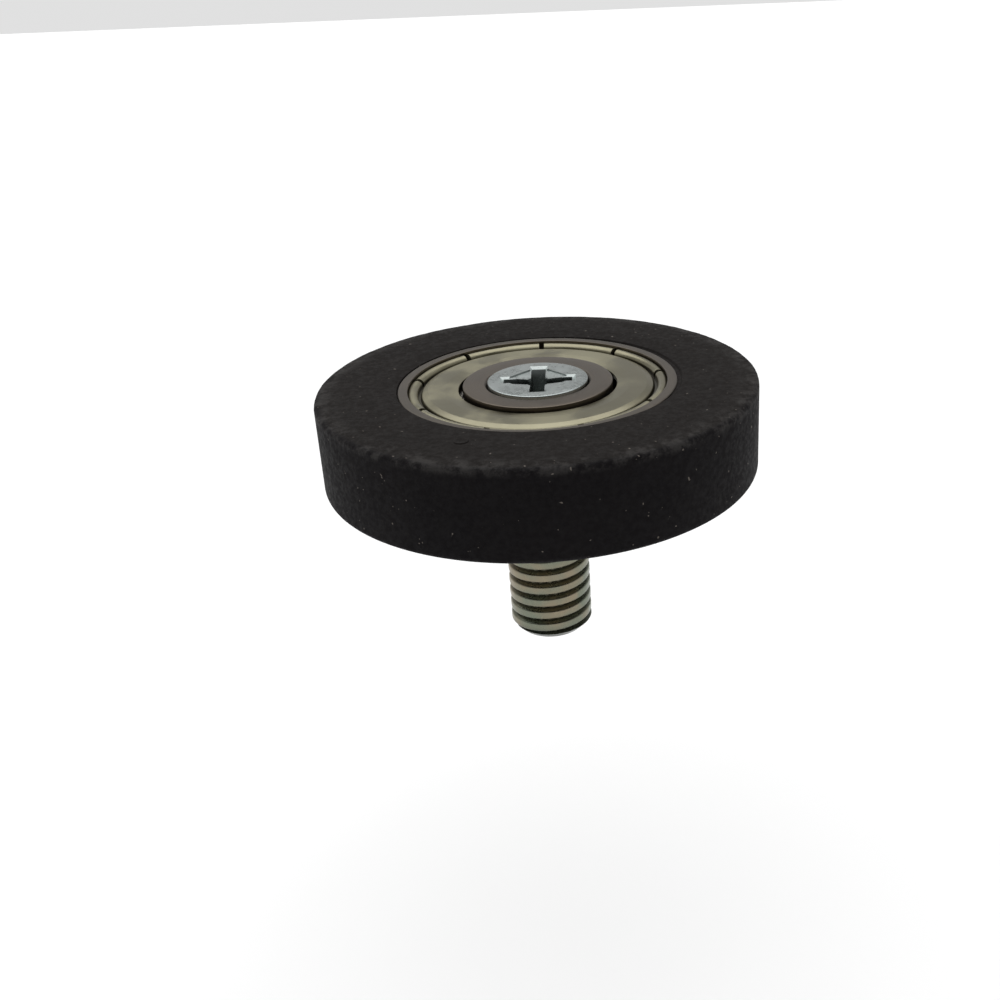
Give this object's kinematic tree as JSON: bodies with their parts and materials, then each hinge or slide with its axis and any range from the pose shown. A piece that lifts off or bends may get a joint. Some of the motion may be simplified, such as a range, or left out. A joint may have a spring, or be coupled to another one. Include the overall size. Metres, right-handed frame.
{
  "type": "cam follower",
  "caption": "Rubber-tyred roller: a shielded ball bearing on a collared stud with a cross-recess head and a threaded end.",
  "frame": {"origin": "on the stud's axis, in the plane of the collar's seat, where the stud goes into its machine", "axes": "+Z along the stud's axis, from the threaded end to the head; the cross recess has its wings along X and Y"},
  "size_m": [0.03, 0.03, 0.0192],
  "materials": {
    "tyre_rubber": "moulded matte black, worn grey along the edge",
    "ring_steel": "ground bearing steel",
    "shield_steel": "satin pressed sheet",
    "cage_steel": "pressed sheet",
    "ball_steel": "polished",
    "zinc_plate": "zinc-plated satin"
  },
  "bodies": {
    "stud": {"stud": "zinc_plate", "inner_ring": "ring_steel"},
    "wheel": {"tyre": "tyre_rubber", "outer_ring": "ring_steel", "upper_shield": "shield_steel", "lower_shield": "shield_steel"},
    "cage": {"cage_upper_half": "cage_steel", "cage_lower_half": "cage_steel", "cage_rivets": "cage_steel"},
    "ball_1": {"ball_1": "ball_steel"},
    "ball_2": {"ball_2": "ball_steel"},
    "ball_3": {"ball_3": "ball_steel"},
    "ball_4": {"ball_4": "ball_steel"},
    "ball_5": {"ball_5": "ball_steel"},
    "ball_6": {"ball_6": "ball_steel"},
    "ball_7": {"ball_7": "ball_steel"}
  },
  "joints": [
    {"name": "wheel_spin", "type": "hinge", "parent": "stud", "child": "wheel", "pos_m": [0, 0, 0.004], "axis": [0, 0, 1], "continuous": true},
    {"name": "cage_spin", "type": "hinge", "parent": "stud", "child": "cage", "pos_m": [0, 0, 0.004], "axis": [0, 0, 1], "continuous": true},
    {"name": "ball_1_roll", "type": "hinge", "parent": "cage", "child": "ball_1", "pos_m": [0.0065, 0, 0.004], "axis": [0, 0, 1], "continuous": true},
    {"name": "ball_2_roll", "type": "hinge", "parent": "cage", "child": "ball_2", "pos_m": [0.00405, 0.00508, 0.004], "axis": [0, 0, 1], "continuous": true},
    {"name": "ball_3_roll", "type": "hinge", "parent": "cage", "child": "ball_3", "pos_m": [-0.00145, 0.00634, 0.004], "axis": [0, 0, 1], "continuous": true},
    {"name": "ball_4_roll", "type": "hinge", "parent": "cage", "child": "ball_4", "pos_m": [-0.00586, 0.00282, 0.004], "axis": [0, 0, 1], "continuous": true},
    {"name": "ball_5_roll", "type": "hinge", "parent": "cage", "child": "ball_5", "pos_m": [-0.00586, -0.00282, 0.004], "axis": [0, 0, 1], "continuous": true},
    {"name": "ball_6_roll", "type": "hinge", "parent": "cage", "child": "ball_6", "pos_m": [-0.00145, -0.00634, 0.004], "axis": [0, 0, 1], "continuous": true},
    {"name": "ball_7_roll", "type": "hinge", "parent": "cage", "child": "ball_7", "pos_m": [0.00405, -0.00508, 0.004], "axis": [0, 0, 1], "continuous": true}
  ],
  "couplings": [
    {"joint": "cage_spin", "follows": "wheel_spin", "ratio": 0.63462},
    {"joint": "ball_1_roll", "follows": "wheel_spin", "ratio": 1.7225},
    {"joint": "ball_2_roll", "follows": "wheel_spin", "ratio": 1.7225},
    {"joint": "ball_3_roll", "follows": "wheel_spin", "ratio": 1.7225},
    {"joint": "ball_4_roll", "follows": "wheel_spin", "ratio": 1.7225},
    {"joint": "ball_5_roll", "follows": "wheel_spin", "ratio": 1.7225},
    {"joint": "ball_6_roll", "follows": "wheel_spin", "ratio": 1.7225},
    {"joint": "ball_7_roll", "follows": "wheel_spin", "ratio": 1.7225}
  ]
}
